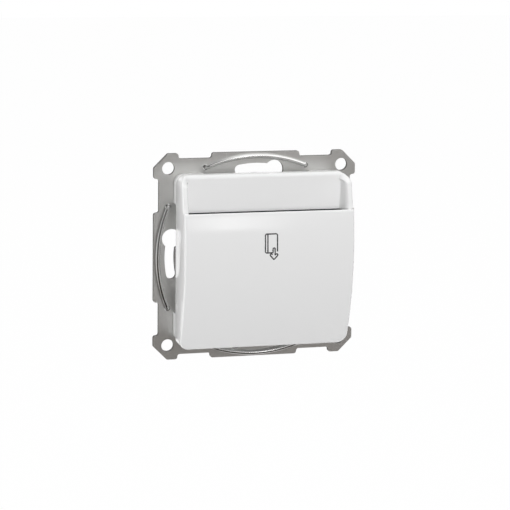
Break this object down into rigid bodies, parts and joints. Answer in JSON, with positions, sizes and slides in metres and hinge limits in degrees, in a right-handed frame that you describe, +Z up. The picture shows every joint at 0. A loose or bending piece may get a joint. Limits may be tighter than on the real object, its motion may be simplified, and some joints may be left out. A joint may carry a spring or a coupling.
{
  "type": "hotel key card switch",
  "caption": "Flush-box insert switch with a crowned cover and a card slot: a pushed-in key card swings a sprung lever that throws a change-over contact behind a sprung steel support plate.",
  "frame": {"origin": "middle of the four corner screw holes, on the back face of the support plate", "axes": "+X to the right seen from the front, +Y into the wall, +Z up; the front faces -Y"},
  "size_m": [0.071, 0.0415, 0.071],
  "materials": {
    "zinc_sheet": "satin zinc plating",
    "spring_wire": "bright drawn wire",
    "white_cover": "satin white",
    "dark_plastic": "matt dark grey",
    "white_frame": "matt white",
    "grey_plastic": "matt grey",
    "housing_plastic": "matt light grey",
    "steel_pin": "zinc plated",
    "bronze_strip": "rolled bronze",
    "contact_silver": "silver",
    "brass": "bright brass"
  },
  "bodies": {
    "base": {"support_plate": "zinc_sheet", "frame_spring_top": "spring_wire", "frame_spring_right": "spring_wire", "frame_spring_bottom": "spring_wire", "frame_spring_left": "spring_wire", "front_cover": "white_cover", "card_guide": "dark_plastic", "cover_carrier": "white_frame", "lever_pin": "steel_pin", "plunger_spring": "steel_pin", "mechanism_lid": "housing_plastic", "rear_housing": "housing_plastic", "housing_rivets": "steel_pin", "blade_pin": "steel_pin", "common_bracket": "brass", "break_contact": "brass", "break_rivet": "contact_silver", "make_contact": "brass", "make_rivet": "contact_silver", "terminal_pillars": "brass", "terminal_screws": "steel_pin"},
    "lever": {"card_lever": "grey_plastic"},
    "plunger": {"plunger": "grey_plastic"},
    "blade": {"contact_blade": "bronze_strip", "blade_rivet": "contact_silver"}
  },
  "joints": [
    {"name": "plunger_slide", "type": "slide", "parent": "base", "child": "plunger", "axis": [0, 1, 0], "range_m": [0, 0.00171], "stiffness_N_per_m": 6, "springref_m": -0.002, "deforming": ["plunger_spring"]},
    {"name": "card_lever_hinge", "type": "hinge", "parent": "base", "child": "lever", "pos_m": [0, -0.0074, 0.004], "axis": [1, 0, 0], "range_deg": [0, 9]},
    {"name": "contact_blade_hinge", "type": "hinge", "parent": "base", "child": "blade", "pos_m": [0, 0.009, 0.008], "axis": [1, 0, 0], "range_deg": [0, 6.6]}
  ],
  "couplings": [
    {"joint": "card_lever_hinge", "follows": "plunger_slide", "rad_per_m": 91.612},
    {"joint": "contact_blade_hinge", "follows": "plunger_slide", "rad_per_m": 66.813}
  ]
}
